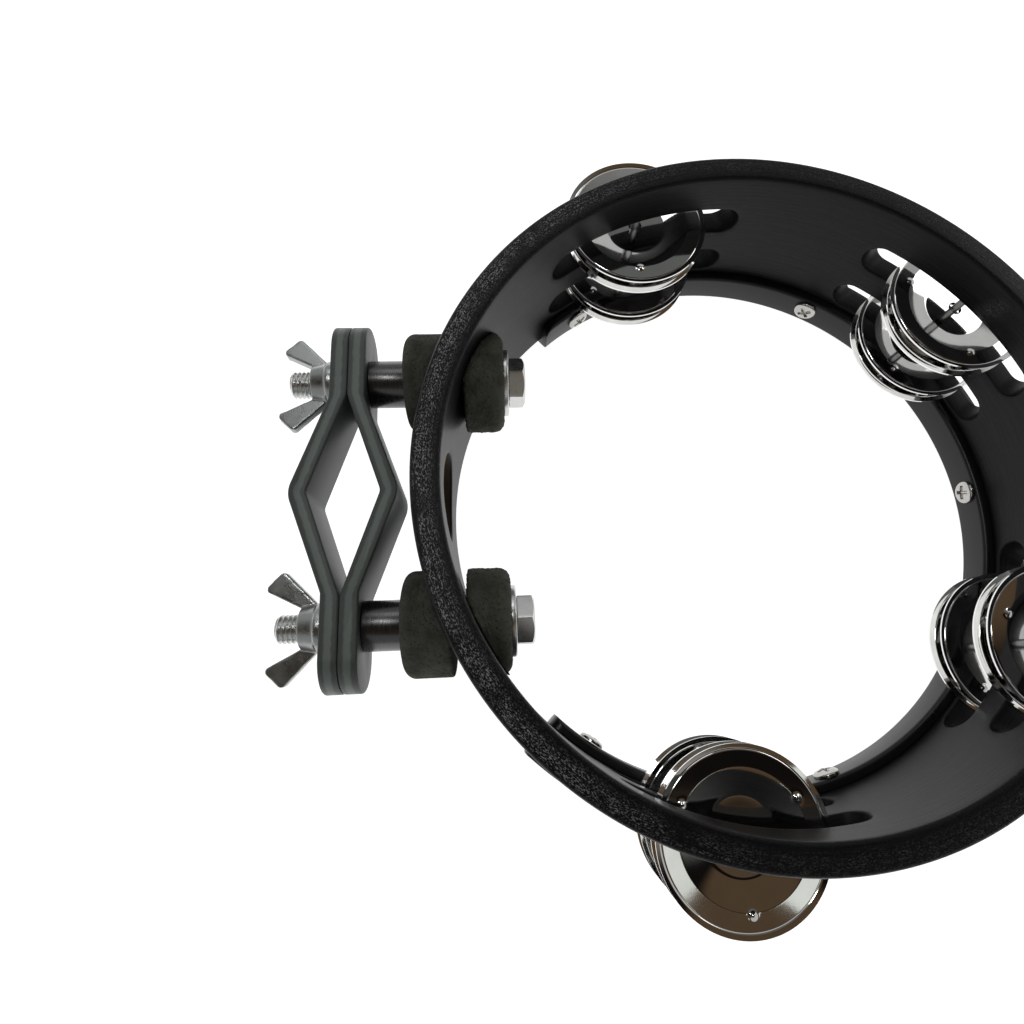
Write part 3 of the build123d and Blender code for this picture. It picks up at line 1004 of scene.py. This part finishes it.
def thread_radius(sizes, x_from_tip, turn):
    """Radius of the bolt at a place: rounded crests, a chamfered tip, then the plain shank."""
    if x_from_tip > sizes.thread_reach:
        return sizes.bolt_radius
    phase = (x_from_tip / sizes.thread_pitch + turn / (2 * math.pi)) % 1.0
    groove = 1 - abs(2 * phase - 1)
    groove = min(1.0, max(0.0, (groove - THREAD_CREST) / THREAD_FLANK))
    fade = min(1.0, (sizes.thread_reach - x_from_tip) / sizes.thread_pitch)
    radius = sizes.bolt_radius - sizes.thread_depth * groove * fade
    return min(radius, sizes.bolt_radius - TIP_CHAMFER + x_from_tip)


def on_bolt(side, x, radius=0.0, turn=0.0):
    return Vector((x, BOLT_Y[side] + radius * math.cos(turn), radius * math.sin(turn)))


def make_bolts(sizes, material):
    segments = BOLT_COLUMNS
    turns = even_turns(segments)
    for side in SIDES:
        node_name = f"clamp_bolt_{side}"
        low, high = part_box(node_name)
        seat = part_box(f"washer_{side}")[1].x
        length = seat - low.x
        stations = [k * sizes.thread_pitch / THREAD_STEPS
                    for k in range(int(sizes.thread_reach * THREAD_STEPS / sizes.thread_pitch) + 2)]
        stations.append(length)
        points = [on_bolt(side, low.x)]
        for x in stations:
            points += [on_bolt(side, low.x + x, thread_radius(sizes, x, turn), turn) for turn in turns]
        faces = [(0, 1 + (i + 1) % segments, 1 + i) for i in range(segments)]
        faces += [tuple(1 + k for k in f) for f in grid_faces(len(stations), segments, wrap_columns=True)]
        flats = (high.y - low.y) / 2
        height = high.x - seat
        last = len(points) - segments
        corner = flats / math.cos(math.pi / 6)
        rings = []
        chamfer_start = flats * HEX_CHAMFER_START
        rings += [("side", share) for share in (0.0, 0.5, 1.0)]
        rings += [("top", share) for share in (1.0, 0.66, 0.33, 0.0)]
        for kind, share in rings:
            for turn in turns:
                wedge = (turn + math.pi / 6) % (math.pi / 3) - math.pi / 6
                hexed = min(flats / math.cos(wedge), corner * HEX_CORNER)
                if kind == "side":
                    r = hexed
                    top = height - max(0.0, r - chamfer_start) * HEX_SLOPE
                    x = HEX_SEAT_STEP + (top - HEX_SEAT_STEP) * share
                else:
                    r = chamfer_start + (hexed - chamfer_start) * share
                    x = height - max(0.0, r - chamfer_start) * HEX_SLOPE
                points.append(on_bolt(side, seat + x, r, turn))
        first = last + segments
        skirt = len(points)
        points += [on_bolt(side, seat, flats * HEX_FACE_EDGE, turn) for turn in turns]
        for i in range(segments):
            j = (i + 1) % segments
            faces.append((last + i, last + j, skirt + j, skirt + i))
            faces.append((skirt + i, skirt + j, first + j, first + i))
        faces += [tuple(first + k for k in f) for f in grid_faces(len(rings), segments, wrap_columns=True)]
        top = len(points)
        points.append(on_bolt(side, seat + height))
        base = first + (len(rings) - 1) * segments
        faces += [(base + i, base + (i + 1) % segments, top) for i in range(segments)]
        add_piece(f"{node_name}_threaded", points, faces, material, node_name, 28.0)


def bored_round(node_name, ending, bore_in, rounds, material):
    """A bored round piece on each bolt: bore_in gives the bore's radius for an outer radius."""
    for side in SIDES:
        name = f"{node_name}_{side}"
        low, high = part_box(name)
        radius = (high.z - low.z) / 2
        bore = bore_in(radius)
        length = high.x - low.x
        section = rounded([(bore, 0), (bore, length), (radius, length), (radius, 0)], rounds, 4)
        points, faces = lathe(section, LATHE_COLUMNS, along_x(low.x, BOLT_Y[side]))
        add_piece(f"{name}_{ending}", points, faces, material, name, 40.0)


def make_washers(sizes, material):
    rounds = (0.2 * MM, 0.3 * MM, 0.55 * MM, 0.2 * MM)
    bored_round("washer", "punched", lambda radius: sizes.bolt_hole, rounds, material)


def make_tubes(sizes, material):
    rounds = (0.2 * MM, 0.2 * MM, 0.45 * MM, 0.45 * MM)
    bored_round("spacer_tube", "sleeve", lambda radius: radius - sizes.tube_wall, rounds, material)


def make_wing_nuts(material):
    """Cast nuts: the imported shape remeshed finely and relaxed, so every corner is soft."""
    for side in SIDES:
        node_name = f"wing_nut_{side}"
        mesh = frame["nodes"][node_name].data.copy()
        mesh.name = f"{node_name}_casting"
        work = bmesh.new()
        work.from_mesh(mesh)
        bmesh.ops.remove_doubles(work, verts=work.verts, dist=1e-6)
        write_back(work, mesh)
        nut = in_scene(mesh.name, mesh)
        remesh = nut.modifiers.new("voxels", "REMESH")
        remesh.mode = "VOXEL"
        remesh.voxel_size = NUT_VOXEL
        relax = nut.modifiers.new("relax", "SMOOTH")
        relax.factor = 0.5
        relax.iterations = 7
        bake_modifiers(nut)
        settle(nut, material, node_name, 180.0)


# ---------------------------------------------------------------- foam bushings
def make_foams(sizes, material):
    for side in SIDES:
        y = BOLT_Y[side]
        outer_low, outer_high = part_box(f"outer_bushing_{side}")
        inner_low, inner_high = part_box(f"inner_bushing_{side}")

        def outer_wall(across, y=y):
            return RING_AXIS.x - math.sqrt((RING_OUTER + FOAM_WALL_GAP) ** 2 - (y + across) ** 2)

        def inner_wall(across, y=y):
            return RING_AXIS.x - math.sqrt((RING_INNER - FOAM_WALL_GAP) ** 2 - (y + across) ** 2)

        outer_flat = outer_high.x
        inner_flat = inner_low.x
        foam_piece(sizes, f"outer_bushing_{side}", lambda a: outer_low.x,
                   lambda a, wall=outer_wall: min(outer_flat, wall(a)),
                   sizes.foam_round, FOAM_WALL_ROUND, material)
        foam_piece(sizes, f"inner_bushing_{side}",
                   lambda a, wall=inner_wall: max(inner_flat, wall(a)),
                   lambda a: inner_high.x, FOAM_WALL_ROUND, sizes.foam_round, material)


def foam_piece(sizes, node_name, start_at, stop_at, start_round, stop_round, material):
    """A pierced plug whose two ends follow what they press on, with pores sunk into its skin."""
    low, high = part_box(node_name)
    y0 = BOLT_Y[node_name[-1]]
    radius = (high.z - low.z) / 2
    bore = sizes.foam_bore
    across = 26
    along = 44
    bend = 10
    points = []
    for turn in even_turns(FOAM_COLUMNS):
        side, up = math.cos(turn), math.sin(turn)
        section = []
        for k in range(across):
            r = bore + (radius - start_round - bore) * k / across
            section.append((r, start_at(r * side)))
        edge = start_at(radius * side)
        for k in range(bend + 1):
            a = math.pi / 2 * k / bend
            r = radius - start_round * (1 - math.sin(a))
            face = start_at(r * side) * (1 - k / bend) + edge * k / bend
            section.append((r, face + start_round * (1 - math.cos(a))))
        far = stop_at(radius * side)
        first = edge + start_round
        last = far - stop_round
        for k in range(1, along):
            section.append((radius, first + (last - first) * k / along))
        for k in range(bend + 1):
            a = math.pi / 2 * (1 - k / bend)
            r = radius - stop_round * (1 - math.sin(a))
            face = stop_at(r * side) * k / bend + far * (1 - k / bend)
            section.append((r, face - stop_round * (1 - math.cos(a))))
        for k in range(1, across + 1):
            r = bore + (radius - stop_round - bore) * (1 - k / across)
            section.append((r, stop_at(r * side)))
        for r, x in section:
            points.append(Vector((x, y0 + r * side, r * up)))
    count = len(points) // FOAM_COLUMNS
    faces = grid_faces(FOAM_COLUMNS, count, wrap_rows=True, wrap_columns=True)
    mesh = bpy.data.meshes.new(f"{node_name}_foam")
    mesh.from_pydata([tuple(p) for p in points], [], faces)
    work = bmesh.new()
    work.from_mesh(mesh)
    bmesh.ops.recalc_face_normals(work, faces=work.faces)
    work.normal_update()
    for vertex in work.verts:
        where = vertex.co / sizes.foam_pore
        pore = noise.noise(where, noise_basis="PERLIN_ORIGINAL")
        dip = max(0.0, pore - PORE_START) * PORE_GAIN
        sag = 0.5 + 0.5 * noise.noise(vertex.co / SAG_SIZE)
        vertex.co -= vertex.normal * (sizes.foam_pit * min(1.0, dip) + SAG_DEPTH * sag)
    write_back(work, mesh)
    piece = in_scene(mesh.name, mesh)
    settle(piece, material, node_name, 180.0)


# ---------------------------------------------------------------- studio
def softbox(name, from_point, towards, reach, size, brightness, tint=(1, 1, 1)):
    """A glowing panel, seen from a point in one direction and facing back at it."""
    data = bpy.data.lights.new(name, "AREA")
    data.shape = "RECTANGLE"
    data.size, data.size_y = size
    data.energy = brightness * math.pi * size[0] * size[1]
    data.color = tint
    lamp = in_scene(name, data)
    direction = Vector(towards).normalized()
    lamp.location = Vector(from_point) + direction * reach
    lamp.rotation_euler = (-direction).to_track_quat("-Z", "Y").to_euler()


def make_room():
    """Pale walls all round, with a ceiling that is brown on the near side and grey on the far side."""
    world = bpy.data.worlds.new("room")
    world.use_nodes = True
    tree = world.node_tree
    direction = node(tree, "ShaderNodeTexCoord").outputs["Generated"]
    parts = node(tree, "ShaderNodeSeparateXYZ", {0: direction}).outputs
    brown = (0.080, 0.052, 0.030, 1)
    near = mixed(tree, between(tree, parts[1], -0.24, -0.16), brown, (0.005, 0.004, 0.004, 1))
    middle_wall = mixed(tree, between(tree, parts[1], -0.02, 0.06), near, brown)
    far = mixed(tree, between(tree, parts[1], 0.24, 0.45), middle_wall, (0.12, 0.125, 0.12, 1))
    room = mixed(tree, between(tree, parts[2], 0.60, 0.74), (0.50, 0.50, 0.495, 1), far)
    background = tree.nodes["Background"]
    tree.links.new(room, background.inputs["Color"])
    background.inputs["Strength"].default_value = 1.0
    bpy.context.scene.world = world


def make_stage():
    scene = bpy.context.scene
    scene.view_settings.view_transform = "Standard"
    floor_mesh = bpy.data.meshes.new("floor")
    z = CAD_BOX[0][2]
    corners = [(x * FLOOR_REACH, y * FLOOR_REACH, z) for x, y in ((-1, -1), (1, -1), (1, 1), (-1, 1))]
    floor_mesh.from_pydata(corners, [], [(0, 1, 2, 3)])
    floor = in_scene("floor", floor_mesh)
    material, _, shader = new_finish("pale_floor", roughness=0.9)
    shader.inputs["Base Color"].default_value = (0.6, 0.6, 0.6, 1)
    shader.inputs["Emission Color"].default_value = (1, 1, 1, 1)
    shader.inputs["Emission Strength"].default_value = 0.97
    floor_mesh.materials.append(material)
    make_room()
    near_pair = middle(f"jingle_{STATIONS[0]}_upper_top")
    ring = RING_AXIS
    cool = (0.93, 1.0, 0.97)
    softbox("left_pane", near_pair, (0.200, -0.260, 0.940), 0.9, (0.07, 0.12), 0.75, cool)
    softbox("right_pane", near_pair, (0.420, -0.310, 0.850), 0.9, (0.07, 0.13), 0.80, cool)
    softbox("middle_pane", near_pair, (0.020, -0.490, 0.870), 0.9, (0.12, 0.10), 0.80, cool)
    far_pair = middle(f"jingle_{STATIONS[-1]}_upper_top")
    softbox("window", far_pair, (-0.14, 0.62, 0.76), 1.0, (0.46, 0.34), 1.7)
    softbox("side_window", ring, (0.85, 0.45, 0.60), 1.0, (0.35, 0.35), 1.7)
    softbox("overhead", (0, 0, 0), (-0.150, 0.200, 0.960), 1.0, (0.11, 0.22), 15.0)
    camera_data = bpy.data.cameras.new("camera")
    camera_data.sensor_width = 36
    camera_data.lens = CAMERA_LENS
    camera_data.shift_x, camera_data.shift_y = CAMERA_SHIFT
    camera_data.clip_start = 0.005
    camera = in_scene("camera", camera_data)
    back = Vector(CAMERA_BACK).normalized()
    up = back.cross(Vector(CAMERA_RIGHT)).normalized()
    right = up.cross(back)
    turned = Matrix((right, up, back)).transposed().to_4x4()
    camera.matrix_world = Matrix.Translation(Vector(CAMERA_PLACE) * MM) @ turned
    scene.camera = camera


# ---------------------------------------------------------------- operators
def settings():
    return bpy.context.scene.tambourine_sizes, bpy.context.scene.tambourine_colours


class TAMBOURINE_OT_shell(bpy.types.Operator):
    """Build the slotted plywood ring"""

    bl_idname = "tambourine.shell"
    bl_label = "Ring shell"

    def execute(self, context):
        sizes, colours = settings()
        make_shell(sizes, wood_finish(sizes, colours))
        return {"FINISHED"}


class TAMBOURINE_OT_guard(bpy.types.Operator):
    """Build the moulded rim guard"""

    bl_idname = "tambourine.guard"
    bl_label = "Rim guard"

    def execute(self, context):
        sizes, colours = settings()
        make_guard(sizes, guard_finish(colours))
        return {"FINISHED"}


class TAMBOURINE_OT_screws(bpy.types.Operator):
    """Build the guard's screws"""

    bl_idname = "tambourine.screws"
    bl_label = "Guard screws"

    def execute(self, context):
        sizes, colours = settings()
        make_screws(sizes, metal_finish("nickel", colours.nickel, 2 * MM, 0.12, 0.24, 0.1))
        return {"FINISHED"}


class TAMBOURINE_OT_jingles(bpy.types.Operator):
    """Build the jingle discs and finish their pins"""

    bl_idname = "tambourine.jingles"
    bl_label = "Jingles and pins"

    def execute(self, context):
        sizes, colours = settings()
        make_jingles(sizes, metal_finish("mirror_chrome", colours.chrome, 9 * MM, 0.03, 0.09, 0.02))
        pin = metal_finish("pin_steel", colours.zinc, 3 * MM, 0.25, 0.40, 0.1)
        for number in STATIONS:
            mesh = frame["nodes"][f"jingle_pin_{number}"].data
            mesh.materials.clear()
            mesh.materials.append(pin)
        return {"FINISHED"}


class TAMBOURINE_OT_plates(bpy.types.Operator):
    """Build the two V plates"""

    bl_idname = "tambourine.plates"
    bl_label = "Clamp plates"

    def execute(self, context):
        sizes, colours = settings()
        make_plates(sizes, plate_finish(sizes, colours))
        return {"FINISHED"}


class TAMBOURINE_OT_bolts(bpy.types.Operator):
    """Build the threaded bolts and punched washers"""

    bl_idname = "tambourine.bolts"
    bl_label = "Bolts and washers"

    def execute(self, context):
        sizes, colours = settings()
        zinc = metal_finish("zinc_plate", colours.zinc, 2.5 * MM, 0.22, 0.36, 0.15)
        make_bolts(sizes, zinc)
        make_washers(sizes, zinc)
        return {"FINISHED"}


class TAMBOURINE_OT_tubes(bpy.types.Operator):
    """Build the gloss spacer tubes"""

    bl_idname = "tambourine.tubes"
    bl_label = "Spacer tubes"

    def execute(self, context):
        sizes, colours = settings()
        make_tubes(sizes, tube_finish(colours))
        return {"FINISHED"}


class TAMBOURINE_OT_wing_nuts(bpy.types.Operator):
    """Build the cast wing nuts"""

    bl_idname = "tambourine.wing_nuts"
    bl_label = "Wing nuts"

    def execute(self, context):
        _, colours = settings()
        make_wing_nuts(metal_finish("cast_zinc", colours.cast, 4 * MM, 0.18, 0.40, 0.6))
        return {"FINISHED"}


class TAMBOURINE_OT_foams(bpy.types.Operator):
    """Build the four foam bushings"""

    bl_idname = "tambourine.foams"
    bl_label = "Foam bushings"

    def execute(self, context):
        sizes, colours = settings()
        make_foams(sizes, foam_finish(sizes, colours))
        return {"FINISHED"}


class TAMBOURINE_OT_stage(bpy.types.Operator):
    """Build the floor, the lights and the camera"""

    bl_idname = "tambourine.stage"
    bl_label = "Studio"

    def execute(self, context):
        make_stage()
        return {"FINISHED"}


OPERATORS = (
    TAMBOURINE_OT_shell,
    TAMBOURINE_OT_guard,
    TAMBOURINE_OT_screws,
    TAMBOURINE_OT_jingles,
    TAMBOURINE_OT_plates,
    TAMBOURINE_OT_bolts,
    TAMBOURINE_OT_tubes,
    TAMBOURINE_OT_wing_nuts,
    TAMBOURINE_OT_foams,
    TAMBOURINE_OT_stage,
)


class TAMBOURINE_PT_panel(bpy.types.Panel):
    """Lists the tambourine's builders in the sidebar"""

    bl_idname = "TAMBOURINE_PT_panel"
    bl_label = "Tambourine"
    bl_space_type = "VIEW_3D"
    bl_region_type = "UI"
    bl_category = "Tambourine"

    def draw(self, context):
        for operator in OPERATORS:
            self.layout.operator(operator.bl_idname)


CLASSES = (TambourineSizes, TambourineColours, *OPERATORS, TAMBOURINE_PT_panel)


def register():
    for cls in CLASSES:
        bpy.utils.register_class(cls)
    bpy.types.Scene.tambourine_sizes = PointerProperty(type=TambourineSizes)
    bpy.types.Scene.tambourine_colours = PointerProperty(type=TambourineColours)


def unregister():
    del bpy.types.Scene.tambourine_colours
    del bpy.types.Scene.tambourine_sizes
    for cls in reversed(CLASSES):
        bpy.utils.unregister_class(cls)


def main():
    register()
    bpy.ops.tambourine.shell()
    bpy.ops.tambourine.guard()
    bpy.ops.tambourine.screws()
    bpy.ops.tambourine.jingles()
    bpy.ops.tambourine.plates()
    bpy.ops.tambourine.bolts()
    bpy.ops.tambourine.tubes()
    bpy.ops.tambourine.wing_nuts()
    bpy.ops.tambourine.foams()
    bpy.ops.tambourine.stage()


if __name__ == "__main__":
    main()
